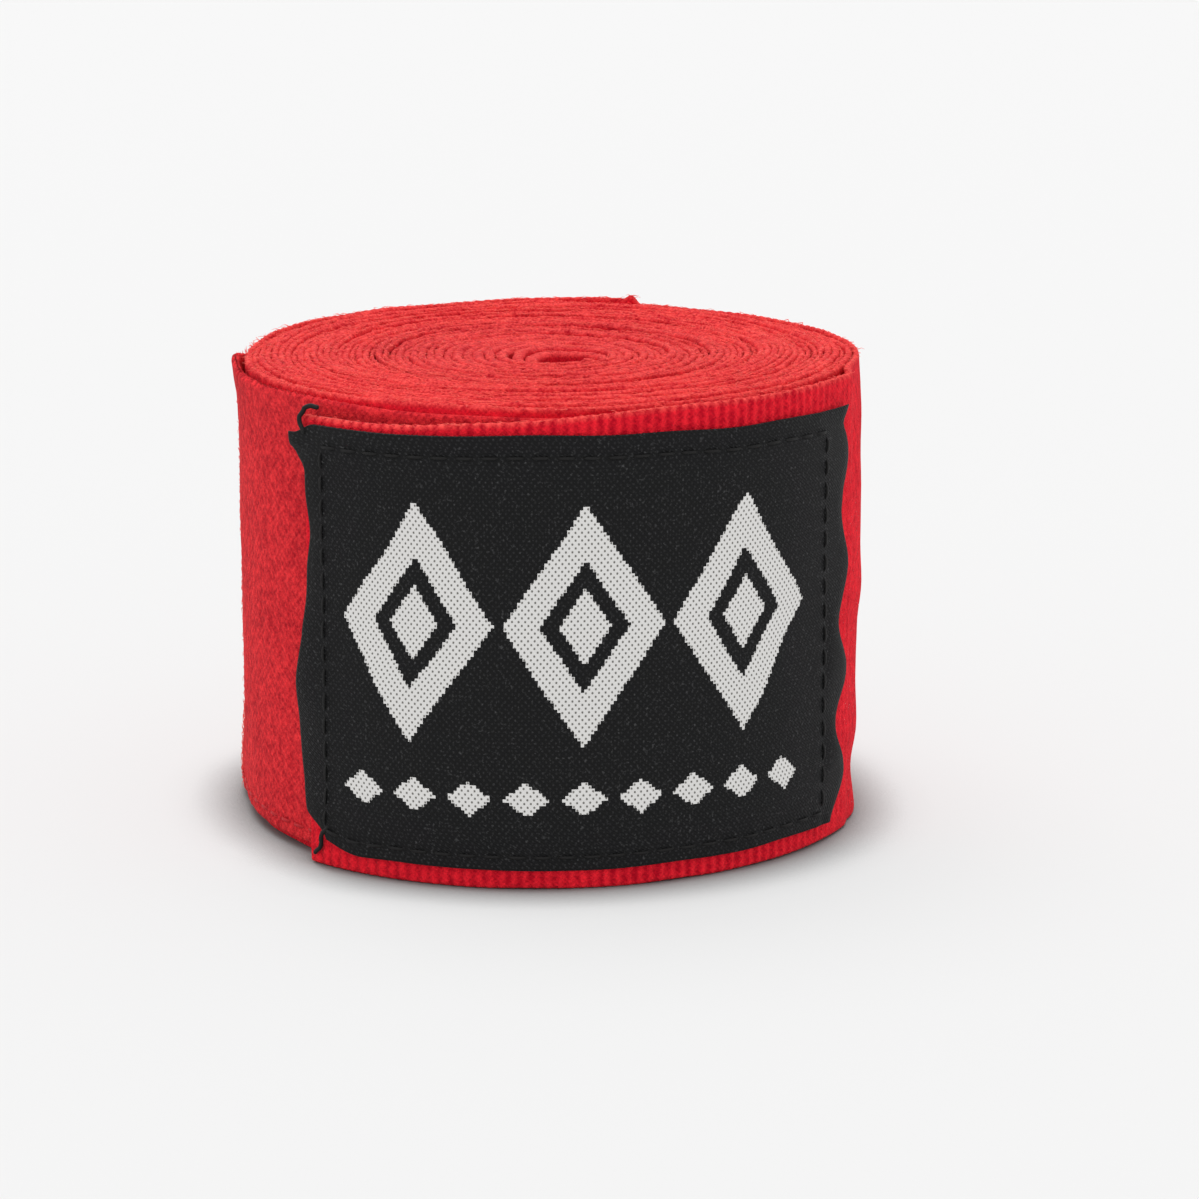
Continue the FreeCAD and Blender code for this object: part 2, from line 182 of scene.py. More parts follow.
def levels(low, high, inner, rounding):
    """Heights from one edge of a cloth to the other, and how full the cloth is at each: a quarter
    round at both edges, and the inner heights at full thickness."""
    angle = np.radians([0, 30, 60, 90])
    edge, fullness = rounding * (1 - np.cos(angle)), np.maximum(np.sin(angle), 0.1)
    height = np.concatenate([low + edge, inner, high - edge[::-1]])
    return height, np.concatenate([fullness, np.ones(len(inner)), fullness[::-1]])


def closed_cloth(name, outer, inner, along, up, ribbing=0.0):
    """A thin closed piece from the corners of its outer and inner faces, grids of (along, up, 3)
    in millimetres: each section goes up the outer face and down the inner one, and an end section
    is closed by quads between the corners that face each other. The cloth attribute gives each
    corner's distance along and up the cloth, and how strongly its crosswise ribs show."""
    ring = np.concatenate([outer, inner[:, ::-1]], axis=1)
    count, size = ring.shape[:2]
    corner = np.arange(count * size).reshape(count, size)
    after = np.roll(corner, -1, axis=1)
    walls = np.stack([corner[:-1], corner[1:], after[1:], after[:-1]], -1).reshape(-1, 4)
    near, far = np.arange(size // 2 - 1), size - 1 - np.arange(size // 2 - 1)
    end = np.column_stack([near, near + 1, far - 1, far])
    faces = np.vstack([walls, corner[0][end], corner[-1][end[:, ::-1]]])
    columns = [np.reshape(along, (-1, 1)), np.concatenate([up, up[::-1]]), np.reshape(ribbing, (-1, 1))]
    cloth = np.stack([np.broadcast_to(column, (count, size)) for column in columns], -1)
    return quad_piece(name, ring.reshape(-1, 3), faces, cloth.reshape(-1, 3))


def quad_piece(name, corners, faces, cloth=None):
    """An object from corners in millimetres and rows of four corner numbers."""
    mesh = bpy.data.meshes.new(name)
    mesh.vertices.add(len(corners))
    mesh.vertices.foreach_set("co", (corners * MM).ravel())
    mesh.loops.add(faces.size)
    mesh.loops.foreach_set("vertex_index", faces.astype(np.int32).ravel())
    mesh.polygons.add(len(faces))
    mesh.polygons.foreach_set("loop_start", np.arange(0, faces.size, 4, dtype=np.int32))
    mesh.update(calc_edges=True)
    mesh.shade_smooth()
    if cloth is not None:
        layer = mesh.attributes.new("cloth", "FLOAT_VECTOR", "POINT")
        layer.data.foreach_set("vector", cloth.ravel())
    piece = bpy.data.objects.new(name, mesh)
    bpy.context.scene.collection.objects.link(piece)
    return piece


def lift_at(place):
    """How far the band lies outside a plain roll: over the patches as far as the flap's bend, then
    down on to the roll in one soft slope, a little loose as far as the roll's hinge line."""
    distance = distance_at(place, FLAP_LIFT + BAND_THICKNESS)
    over_patches = 1 - smooth((distance - FLAP_LENGTH - 1) / 15)
    loose = LOOSE_LIFT * (1 - smooth((place - ROLL_HINGE + 0.2) / 0.4))
    return loose + (FLAP_LIFT - LOOSE_LIFT) * over_patches


def rim_rise(place):
    """How far the band's upper selvedge stands above or below 50 mm: each turn was wound a little
    higher or lower than the last, the free end hangs low, and one stretch of the last turn at the
    back stands up and ends in a step with a yarn knot. The innermost turns are sunk round the
    hole, most of all towards the front."""
    distance = distance_at(place, BAND_THICKNESS)
    turns_in = (LAST_PLACE - place) / RUNS_PER_TURN
    uneven = 0.2 * drift(1, distance / 31) + 0.1 * drift(2, distance / 6.5)
    uneven += 0.3 * drift(3, turns_in / 1.9) * smooth((place - 4) / 8)
    knobs = 0.045 * np.sin(2 * np.pi * distance / RIB_PITCH) * (1 - 0.6 * smooth((place - 8) / 6))
    low_end = -1.9 * (1 - smooth((distance - 6) / 32))
    stretch = 0.55 * smooth((place - 4.035) / 0.015) * (1 - smooth((place - 4.16) / 0.3))
    knot = 0.45 * np.exp(-(((place - 4.052) / 0.009) ** 2))
    raised = 0.35 * smooth((distance - 30) / 14) * (1 - smooth((distance - 60) / 14))
    towards_front = np.clip(-outward(place)[..., 1], 0, 1)
    dished = -0.3 * smooth((3 - turns_in) / 3) - 3.4 * smooth((0.7 - turns_in) / 0.35)
    dished = dished - 0.9 * towards_front * smooth((2.4 - turns_in) / 1.2)
    return uneven + knobs + low_end + raised + stretch + knot + dished


def cloth_spot(place, out, height):
    """Where a spot of the wound band is: on the line moved out, and raised with its selvedge. Round
    the core the upper part leans in, towards the front, so that the loose turns close over the hole
    and each keeps at least one pitch from the next."""
    place, out, height = np.broadcast_arrays(place, out, height)
    turns_in = (LAST_PLACE - place) / RUNS_PER_TURN
    eased = np.clip(1 - turns_in / EASED_TURNS, 0, 1) ** 3
    inwards = EASED_PITCH * EASED_TURNS / 3 * eased
    inwards = inwards - (CORE_PITCH - PITCH) * np.maximum(CORE_TURNS - turns_in, 0)
    lean = smooth((height - TAPE_TOP) / LEAN_HEIGHT)
    level = height + rim_rise(place) * smooth((height - 36) / 14)
    plan = spot(place, out - lean * inwards) + (lean * eased)[..., None] * CORE_LEAN
    return np.concatenate([plan, level[..., None]], -1)


def middle_out(place, height):
    """How far out the middle of the cloth lies. It sways a little where nothing covers it, puckers
    beside the label's far end, and leans in at the top where the patches stop. The outer turns
    bulge a little at the right, most of all at the top."""
    distance = distance_at(place, FLAP_LIFT + BAND_THICKNESS)
    exposed = 1 - smooth((place - ROLL_HINGE) / 0.3)
    pucker = smooth((distance - 62) / 10) * (1 - smooth((distance - 92) / 25))
    wave = 0.12 * exposed * drift(5, distance / 14, height / 9)
    wave = wave + 1.1 * pucker * drift(6, distance / 30, height / 5.2)
    room = smooth((distance - 69) / 6) * (lift_at(place) - LOOSE_LIFT)
    wave = np.maximum(wave, -0.03 - 0.6 * room)
    top_lean = 0.8 * smooth((height - 42) / 8) * np.minimum(room, room + wave)
    direction = outward(place)
    angle = np.degrees(np.arctan2(direction[..., 1], direction[..., 0]))
    outer_share = np.clip(((LAST_PLACE - place) / RUNS_PER_TURN - 12) / 24, 0, 1)
    bulge = 0.85 * outer_share * np.exp(-(((angle - 5) / 13) ** 2)) * smooth((height - 26) / 18)
    return lift_at(place) + BAND_THICKNESS / 2 + wave - top_lean + bulge


def band_faces(place, height, fullness):
    """The corners of the band's outer and inner faces at each place and height. Its crosswise ribs
    stand out most on the flap's margins. The selvedges of wound turns are brushed as thick as their
    pitch, and mat together except at some crevices."""
    place, height = place[:, None], height[None, :]
    distance = distance_at(place, BAND_THICKNESS)
    flap_distance = distance_at(place, FLAP_LIFT + BAND_THICKNESS)
    ridge = 1 - 1.6 * np.abs(np.sin(np.pi * flap_distance / RIB_PITCH)) ** 3
    ribs = 0.11 * rib_share(place) * (ridge + 0.5 * drift(4, distance / 1.3, height / 2.5))
    middle = middle_out(place, height)
    turns_in = (LAST_PLACE - place) / RUNS_PER_TURN
    room = EASED_PITCH - 3 / EASED_TURNS * (outward(place) @ CORE_LEAN)
    loosened = room * np.clip(1 - turns_in / EASED_TURNS, 0, 1) ** 2 / BAND_THICKNESS
    loosened = loosened * smooth(turns_in / 1.5)
    brushed = smooth((height - BAND_WIDTH + 1.6) / 1.2) * smooth((place - ROLL_HINGE) / 0.5)
    crevice = smooth((drift(8, distance / 21) - 0.3) / 0.3)
    thick = loosened + 0.24 * (1 - 1.6 * crevice) + 0.12 * drift(9, distance / 0.9, height / 0.3)
    matted = 1 + brushed * thick
    half = (BAND_THICKNESS / 2) * fullness[None, :] * matted
    tufts = np.stack([drift(10 + axis, distance / 1.1, height / 0.35) for axis in range(3)], -1)
    tufts = 0.11 * brushed[..., None] * tufts
    foot = (0.1 + 0.1 * drift(7, distance / 5)) * (1 - smooth(height / 6))
    outer = cloth_spot(place, middle + half + ribs * fullness, height + foot)
    inner = cloth_spot(place, middle - half, height + foot)
    return outer + tufts, inner + tufts


def rib_share(place):
    """How strongly the crosswise ribs show: most at the flap's start, less where the cloth has been
    rubbed fuzzy near the flap's hinge, and hardly at all on the wound turns."""
    return 0.08 + 0.92 * (1 - smooth((distance_at(place, FLAP_LIFT + BAND_THICKNESS) - 50) / 24))


def band_piece(name, first, last, step, inner_heights):
    """One stretch of the band, closed at both its ends."""
    place = spaced(first, last, step, BAND_THICKNESS)
    height, fullness = levels(0, BAND_WIDTH, inner_heights, SELVEDGE)
    outer, inner = band_faces(place, height, fullness)
    along = distance_at(place, FLAP_LIFT + BAND_THICKNESS)
    return closed_cloth(name, outer, inner, along, height, rib_share(place))


def node(tree, kind, inputs=None, **settings):
    """Adds a shader node. An input is a value, or the output that is linked to it."""
    item = tree.nodes.new(kind)
    for name, value in settings.items():
        setattr(item, name, value)
    for name, value in (inputs or {}).items():
        if isinstance(value, bpy.types.NodeSocket):
            tree.links.new(value, item.inputs[name])
        else:
            item.inputs[name].default_value = value
    return item


def arithmetic(tree, operation, *values, **settings):
    """The result of a sum on up to three values, worked out in the shader."""
    item = node(tree, "ShaderNodeMath", dict(enumerate(values)), operation=operation, **settings)
    return item.outputs[0]


def between(tree, factor, first, second):
    """A colour this share of the way from the first colour to the second."""
    item = node(tree, "ShaderNodeMix", {"Factor": factor, "A": first, "B": second}, data_type="RGBA")
    return item.outputs["Result"]


def linear(code):
    """A colour from its sRGB hex code, in linear light: each channel below 0.04045 is divided by
    12.92, and the rest is ((c + 0.055) / 1.055) to the power 2.4."""
    channels = [int(code[n : n + 2], 16) / 255 for n in (1, 3, 5)]
    return [c / 12.92 if c <= 0.04045 else ((c + 0.055) / 1.055) ** 2.4 for c in channels] + [1.0]


def new_material(name):
    """An empty node material with its output node."""
    material = bpy.data.materials.new(name)
    material.use_nodes = True
    tree = material.node_tree
    tree.nodes.clear()
    return material, tree, tree.nodes.new("ShaderNodeOutputMaterial")


def surface(tree, output, inputs):
    """Gives a material its surface shader with these inputs."""
    shader = node(tree, "ShaderNodeBsdfPrincipled", inputs)
    tree.links.new(shader.outputs[0], output.inputs["Surface"])


def cotton(name, deep, light, brushed, weave, weave_relief, fuzz):
    """Dyed cloth: a plain weave of this thread spacing in millimetres, crosswise ribs where they show, and a
    matt fuzz of loose fibres. The tone goes from deep to light with the relief plus a third of a soft
    mottling, which paints shade into the hollows of the weave and ribs and a highlight where they stand up.
    The upper selvedge goes towards the brushed colour, partly for its real fuzz and partly as a painted
    highlight of the light from above."""
    material, tree, output = new_material(name)
    cloth = node(tree, "ShaderNodeAttribute", attribute_name="cloth").outputs["Vector"]
    body = node(tree, "ShaderNodeTexCoord").outputs["Object"]
    axes = node(tree, "ShaderNodeSeparateXYZ", {0: cloth}).outputs
    threads = []
    for axis, spacing in ((axes[0], weave), (axes[1], weave), (axes[0], RIB_PITCH)):
        turned = arithmetic(tree, "MULTIPLY", axis, 2 * math.pi / spacing)
        threads.append(arithmetic(tree, "SINE", turned))
    crossing = arithmetic(tree, "MULTIPLY", threads[0], threads[1])
    relief = arithmetic(tree, "MULTIPLY", crossing, weave_relief)
    ribs = arithmetic(tree, "MULTIPLY", threads[2], axes[2])
    noises = []
    for grain, detail in ((9.0, 3.0), (0.8, 4.0), (0.22, 3.0)):
        settings = {"Vector": body, "Scale": 1 / (grain * MM), "Detail": detail, "Roughness": 0.65}
        noise = node(tree, "ShaderNodeTexNoise", settings).outputs["Fac"]
        noises.append(arithmetic(tree, "SUBTRACT", noise, 0.5))
    for wave, share in ((ribs, 0.12), (noises[1], fuzz), (noises[2], 0.6 * fuzz)):
        relief = arithmetic(tree, "MULTIPLY_ADD", wave, share, relief)
    # Painted shade and highlight: darker in the hollows of the weave and ribs, lighter where they stand up,
    # plus a soft random mottling.
    shade = arithmetic(tree, "MULTIPLY_ADD", noises[0], 0.3, relief)
    tone = node(tree, "ShaderNodeMapRange", {"Value": shade, "From Min": -0.2, "From Max": 0.22})
    # The upper selvedge goes towards the brushed colour: partly its real fuzz, partly a painted highlight
    # where the light from above falls on it.
    top = node(
        tree, "ShaderNodeMapRange",
        {"Value": axes[1], "From Min": BAND_WIDTH - 0.6, "From Max": BAND_WIDTH - 0.05, "To Max": 0.75},
    )
    top_fuzz_and_highlight = between(tree, top.outputs[0], linear(light), linear(brushed))
    colour = between(tree, tone.outputs[0], linear(deep), top_fuzz_and_highlight)
    bump = node(tree, "ShaderNodeBump", {"Height": relief, "Strength": 0.9, "Distance": 0.5 * MM})
    surface(tree, output, {
        "Base Color": colour, "Roughness": 0.95, "Specular IOR Level": 0.1, "Normal": bump.outputs[0],
        "Sheen Weight": 0.1, "Sheen Roughness": 0.5, "Sheen Tint": linear("#f08074"),
    })
    return material


SEWN_GAP = 0.03
LOOP_LENGTH = 105.0
PATCH_MARGIN = 12.0
LOOP_FACE = BAND_THICKNESS + SEWN_GAP
LOOP_LAST = FLAP_HINGE + RUNS_PER_TURN
LOOP_FIRST = place_at(distance_at(LOOP_LAST, LOOP_FACE) - LOOP_LENGTH, LOOP_FACE)
ROLL_HINGE = place_at(distance_at(LOOP_FIRST, BAND_THICKNESS) - PATCH_MARGIN, BAND_THICKNESS)

# The band is drawn in three lengths. The innermost is given deeper reds than the rest, as painted shade, so
# that the hole looks a deeper red.
WOUND_PIECES = 3
band_cotton = cotton("semi-elastic woven cotton", "#b80520", "#fc2434", "#ff625a", 0.6, 0.05, 0.8)
# Painted shade: the same cotton in darker reds, for the innermost length round the hole.
hole_shade_cotton = cotton("woven cotton painted darker as hole shade", "#aa041d", "#f21f31", "#ff605a", 0.6, 0.05, 0.8)
wound_heights = np.array([6, 20, 35, 38, 41, 44, 47])
wound_length = distance_at(LAST_PLACE, BAND_THICKNESS) - distance_at(BOUND_PLACE, BAND_THICKNESS)
cuts = place_at(
    distance_at(BOUND_PLACE, BAND_THICKNESS) + wound_length * np.linspace(0, 1, WOUND_PIECES + 1),
    BAND_THICKNESS,
)
for number, (first, last) in enumerate(zip(cuts[:-1], cuts[1:]), 1):
    stretch = band_piece(f"wound_band_{number}", first, last, 0.5, wound_heights)
    stretch.data.materials.append(hole_shade_cotton if number == WOUND_PIECES else band_cotton)
    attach(stretch, "rolled_band")
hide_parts("band_roll")


turn_heights = np.linspace(1, BAND_WIDTH - 1, 45)
last_turn = band_piece("last_turn_of_band", SEAM_PLACE, BOUND_PLACE, 0.3, turn_heights)
last_turn.data.materials.append(band_cotton)
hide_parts("band_last_turn")
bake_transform(last_turn)


# ---- The flap
# The band's free end, which the patches hold. Its crosswise ribs show in the narrow margins above and below
# the label, where nothing has rubbed them fuzzy.
FLAP_OUT = FLAP_LIFT + BAND_THICKNESS
TIP_BACK = 1.6
tip_place = float(place_at(TIP_BACK, FLAP_OUT))
flap = band_piece("flap_of_band", tip_place, SEAM_PLACE, 0.24, turn_heights)
flap.data.materials.append(band_cotton)
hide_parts("band_flap")
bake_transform(flap)


# ---- The loop patch
# A tape of brushed nylon loops, sewn to the band's outer face one turn below the flap. Its first
# stretch runs on past the flap's free end and shows as the roll's fuzzy side, and its upper edge
# shows as a knobby ridge behind the flap's low tip.
LOOP_LOW, LOOP_HIGH = 1.0, 49.0
LOOP_PILE = 1.0
LOOP_START, BARE_END = distance_at([LOOP_FIRST, RUNS_PER_TURN], LOOP_FACE)


def bareness(along):
    """1 where nothing covers the patch, falling to 0 just inside the flap's free end."""
    return 1 - smooth((along - BARE_END + 2) / 6)


def pile_flare(along, up):
    """How far the pile stands off where the flap doesn't press it down: a soft unevenness, more
    at the foot, and at the upper edge once the patch has begun."""
    begun = smooth((along - LOOP_START) / 12)
    uneven = 0.15 * (1 + drift(14, along / 12, up / 7))
    raised = 0.25 * begun * smooth((up - 38) / 10) + 0.7 * smooth((12 - up) / 12)
    return bareness(along) * (uneven + raised)


place = spaced(LOOP_FIRST, LOOP_LAST, 0.45, LOOP_FACE)
height, fullness = levels(LOOP_LOW, LOOP_HIGH, np.linspace(LOOP_LOW + 1, LOOP_HIGH - 1, 60), 0.5)
along = distance_at(place, LOOP_FACE)
grid_along, grid_up = along[:, None], height[None, :]
tuft = 0.06 * drift(11, grid_along / 0.9, grid_up / 0.9) + 0.07 * drift(12, grid_along / 6, grid_up / 8)
edge_sway = 0.25 * drift(13, grid_along / 9) * smooth((grid_up - 40) / 9)
face_out = LOOP_FACE + LOOP_PILE * (0.5 + 0.42 * fullness[None, :]) + tuft * fullness
face_in = LOOP_FACE + LOOP_PILE * (0.5 - 0.5 * fullness[None, :])
columns = np.broadcast_to(place[:, None], face_out.shape)
flare = pile_flare(grid_along, grid_up)
covered = grid_along - BARE_END
ridge = smooth((covered + 6) / 6) * (1 - smooth((covered - 22) / 16)) * smooth((grid_up - 44) / 5)
face_out = face_out + flare + 0.5 * ridge
face_in = face_in + flare * smooth((grid_up - 38) / 10) + 0.6 * ridge
edge_knobs = 0.14 * ridge * np.sin(2 * np.pi * grid_along / RIB_PITCH)
level = grid_up + edge_sway + 0.55 * ridge + edge_knobs
level = level - 0.7 * bareness(grid_along) * smooth((8 - grid_up) / 8)
level = level - 0.9 * (1 - smooth((covered + 14) / 12)) * smooth((grid_up - 40) / 8)
loop_patch = closed_cloth(
    "loop_patch_pile",
    np.dstack([spot(columns, face_out), level]),
    np.dstack([spot(columns, face_in), level]),
    along,
    height,
)
loop_pile = cotton("brushed loop pile", "#a60a1e", "#f6363c", "#fa5e54", 0.9, 0.06, 0.95)
loop_patch.data.materials.append(loop_pile)
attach(loop_patch, "rolled_band")
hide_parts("loop_patch")


def tubes(name, lines, radii, reference, sides=6, flatness=1.0):
    """Closed tubes round many lines at once. Lines are (tube, station, 3) in millimetres, with a
    radius for each station. A section is a ring in the plane of the line's side and rise: the side
    is the line's direction crossed with the reference, and the rise is the direction crossed with
    the side, flattened."""
    ahead = np.gradient(lines, axis=1)
    ahead /= np.linalg.norm(ahead, axis=2, keepdims=True)
    side = np.cross(ahead, np.broadcast_to(reference, lines.shape))
    side /= np.linalg.norm(side, axis=2, keepdims=True)
    rise = np.cross(ahead, side) * flatness
    angle = 2 * np.pi * np.arange(sides) / sides
    ring = np.cos(angle)[:, None] * side[:, :, None] + np.sin(angle)[:, None] * rise[:, :, None]
    corners = lines[:, :, None] + radii[:, :, None, None] * ring
    count, stations = lines.shape[:2]
    corner = np.arange(count * stations * sides).reshape(count, stations, sides)
    after = np.roll(corner, -1, axis=2)
    walls = np.stack([corner[:, :-1], after[:, :-1], after[:, 1:], corner[:, 1:]], -1).reshape(-1, 4)
    near, far = np.arange(sides // 2 - 1), sides - 1 - np.arange(sides // 2 - 1)
    end = np.column_stack([near, near + 1, far - 1, far])
    starts = corner[:, 0][:, end[:, ::-1]].reshape(-1, 4)
    stops = corner[:, -1][:, end].reshape(-1, 4)
    return quad_piece(name, corners.reshape(-1, 3), np.vstack([walls, starts, stops]))


# ---- The hook patch
# A tape of moulded nylon hooks sewn inside the flap, which is seen only when the flap is peeled.
# Its base is woven, and its hooks stand in rows and curl over at the top.
HOOK_LOW, HOOK_HIGH = 2.0, 48.0
HOOK_OUT = FLAP_LIFT - SEWN_GAP
HOOK_BASE = 0.32
HOOK_SPACING = 1.6
HOOK_ENDS = np.array([3.0, 67.5])
hook_first, hook_last = place_at(HOOK_ENDS, FLAP_OUT)
place = spaced(hook_first, hook_last, 1.0, HOOK_OUT)
height, fullness = levels(HOOK_LOW, HOOK_HIGH, np.linspace(HOOK_LOW + 1, HOOK_HIGH - 1, 24), 0.3)
columns = np.broadcast_to(place[:, None], (len(place), len(height)))
level = np.broadcast_to(height, columns.shape)
middle = HOOK_OUT - HOOK_BASE / 2
half = HOOK_BASE / 2 * fullness
hook_base = closed_cloth(
    "hook_patch_base",
    np.dstack([spot(columns, middle + half), level]),
    np.dstack([spot(columns, middle - half), level]),
    distance_at(place, HOOK_OUT),
    height,
)
columns, level = np.meshgrid(
    spaced(hook_first, hook_last, HOOK_SPACING, HOOK_OUT)[1:-1],
    np.arange(HOOK_LOW + 1.5, HOOK_HIGH - 1, HOOK_SPACING),
)
columns, level = columns.ravel()[:, None], level.ravel()[:, None]
# A hook in five stations: it stands 0.56 mm off its base and curls 0.3 mm forward and down.
rise = np.array([0, 0.32, 0.5, 0.56, 0.44])
forward = np.array([0, 0, 0.06, 0.2, 0.3])
HOOK_RADIUS = 0.1
hook_places = place_at(distance_at(columns, HOOK_OUT) + forward, HOOK_OUT)
stem = np.broadcast_to(HOOK_OUT - HOOK_BASE + 0.05 - rise, hook_places.shape)
hook_lines = np.dstack([spot(hook_places, stem), np.broadcast_to(level, stem.shape)])
hooks = tubes("hook_patch_hooks", hook_lines, np.full(stem.shape, HOOK_RADIUS), [0, 0, 1], sides=4)

# Moulded nylon is smooth, so it has a soft gloss over the woven base's fine mottling.
hook_nylon, tree, output = new_material("moulded nylon hook tape")
body = node(tree, "ShaderNodeTexCoord").outputs["Object"]
weave = node(tree, "ShaderNodeTexNoise", {"Vector": body, "Scale": 1 / (0.5 * MM), "Detail": 3.0})
colour = between(tree, weave.outputs["Fac"], linear("#8e101b"), linear("#c2202a"))
bump = node(tree, "ShaderNodeBump", {"Height": weave.outputs["Fac"], "Strength": 0.4, "Distance": 0.1 * MM})
surface(tree, output, {"Base Color": colour, "Roughness": 0.45, "IOR": 1.53, "Normal": bump.outputs[0]})
for piece in (hook_base, hooks):
    piece.data.materials.append(hook_nylon)
    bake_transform(piece)
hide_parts("hook_patch")


# ---- The woven label
# A damask label covers the flap: a black twill ground with a motif of nested lozenges in white
# satin. It is sewn down round its edges, which pucker and stand off a little between the stitches.
LABEL_LENGTH = 69.0
LABEL_LOW, LABEL_HIGH = 2.2, 47.8
LABEL_THICKNESS = 0.3
FAR_SEAM = LABEL_LENGTH - 6.4


def label_along(share, up):
    """How far along the flap a spot of the label lies. Its free end is uneven: the upper corner
    sticks out by a millimetre, the edge below it lies one or two in, and the lower corner nearly
    four. Its other end is scalloped by the puckered seam and lies about two millimetres short."""
    from_top = (LABEL_HIGH - up) / (LABEL_HIGH - LABEL_LOW)
    free_end = 0.5 * np.sin(2 * np.pi * (from_top * 1.35 - 0.1)) + 0.25 * drift(21, up / 4)
    free_end = free_end + 1.9 * smooth(from_top / 0.12) - 1.1 * smooth((from_top - 0.5) / 0.12)
    free_end = free_end - 0.7 * smooth((0.06 - from_top) / 0.06) + 1.2 * smooth((from_top - 0.86) / 0.14)
    free_end = free_end + 1.9 * smooth((from_top - 0.92) / 0.08)
    far_end = LABEL_LENGTH + 1.1 * np.sin(2 * np.pi * (up - 4) / 11.5) + 0.9 * drift(22, up / 5) - 2.2
    far_end = far_end + 0.8 * smooth((0.05 - from_top) / 0.05) - 1.8 * smooth((from_top - 0.85) / 0.15)
    return free_end * (1 - share) ** 3 + share * LABEL_LENGTH + (far_end - LABEL_LENGTH) * share**6


def label_sway(along, up):
    """How far the label's upper and lower edges lie above the straight: the upper one sags at the
    free end and runs down to the far end, and the lower one is drawn up at its free corner."""
    top = -0.5 * smooth((along - 30) / 39) - 0.45 * (1 - smooth((along - 12) / 12))
    top = top - 1.1 * smooth((3.5 - along) / 3) + 0.12 * drift(26, along / 7)
    bottom = 0.15 * drift(27, along / 7) + 1.9 * smooth((9 - along) / 7)
    return top * smooth((up - 40) / 8) + bottom * smooth((8 - up) / 8)


def label_out(along, up):
    """How far out the label's inner face lies: on the flap's ribs, with soft puckers near both ends
    and along the upper and lower seams, pressed down again where the stitches pull."""
    near_end = smooth((9 - along) / 9) + smooth((along - LABEL_LENGTH + 10) / 8)
    near_edge = smooth((up - LABEL_HIGH + 6) / 5) + smooth((LABEL_LOW + 6 - up) / 5)
    swell = 0.32 * near_end * (0.75 + drift(23, along / 8, up / 5))
    swell = swell + 0.1 * near_edge * (1 + drift(24, along / 4, up / 4))
    pressed = 1 - 0.7 * np.exp(-(((up - LABEL_HIGH + 2.3) / 0.7) ** 2))
    pressed = pressed * (1 - 0.7 * np.exp(-(((along - FAR_SEAM) / 0.8) ** 2)))
    flap_face = middle_out(place_at(along, FLAP_OUT), up) + BAND_THICKNESS / 2
    return flap_face + 0.2 + np.maximum(swell, 0) * pressed + 0.03 * drift(25, along / 11, up / 11)


share = np.linspace(0, 1, 240)
height, fullness = levels(LABEL_LOW, LABEL_HIGH, np.linspace(LABEL_LOW + 0.4, LABEL_HIGH - 0.4, 110), 0.15)
share, height = share[:, None], height[None, :]
label_distance = label_along(share, height)
columns = place_at(label_distance, FLAP_OUT)
slack = label_out(label_distance, height)
middle = slack + LABEL_THICKNESS / 2
half = LABEL_THICKNESS / 2 * fullness[None, :] * np.minimum(1, 0.3 + 40 * share * (1 - share))
level = height + label_sway(label_distance, height)
label = closed_cloth(
    "woven_label_damask",
    np.dstack([spot(columns, middle + half), level]),
    np.dstack([spot(columns, middle - half), level]),
    share[:, 0] * LABEL_LENGTH,
    height[0],
)

WHITE_FLOAT = 0.34
damask, tree, output = new_material("damask woven label")
cloth = node(tree, "ShaderNodeAttribute", attribute_name="cloth").outputs["Vector"]
body = node(tree, "ShaderNodeTexCoord").outputs["Object"]
axes = node(tree, "ShaderNodeSeparateXYZ", {0: cloth}).outputs
stepped = [arithmetic(tree, "SNAP", axes[axis], WHITE_FLOAT) for axis in (0, 1)]


def lozenges(first, spacing, middle_height, half_height):
    """How far a spot is from a lozenge's middle in a row of them: 0 there and 1 at its outline.
    It is the distance along, as a share of half the spacing, plus the same for the height."""
    folded = arithmetic(tree, "PINGPONG", arithmetic(tree, "SUBTRACT", stepped[0], first), spacing / 2)
    across = arithmetic(tree, "DIVIDE", folded, spacing / 2)
    height_off = arithmetic(tree, "ABSOLUTE", arithmetic(tree, "SUBTRACT", stepped[1], middle_height))
    up = arithmetic(tree, "DIVIDE", height_off, half_height)
    return arithmetic(tree, "ADD", across, up)


def band_between(value, low, high):
    """1 where a value lies between two others, and 0 elsewhere."""
    above = arithmetic(tree, "GREATER_THAN", value, low)
    below = arithmetic(tree, "LESS_THAN", value, high)
    return arithmetic(tree, "MULTIPLY", above, below)


# Three large lozenges side by side, each a white frame round a white heart, and a row of small
# solid ones below them.
large = lozenges(14.2, 18.2, 27.8, 13.4)
small = lozenges(8.4, 6.0, 9.6, 2.3)
frames = [band_between(large, 0.52, 0.95), band_between(large, -1, 0.3)]
large_ends = band_between(axes[0], 5.1, 59.7)
small_ends = band_between(axes[0], 5.4, 59.4)
dots = arithmetic(tree, "MULTIPLY", band_between(small, -1, 0.8), small_ends)
bounded = arithmetic(tree, "MULTIPLY", arithmetic(tree, "ADD", frames[0], frames[1]), large_ends)
white = arithmetic(tree, "ADD", bounded, dots, use_clamp=True)

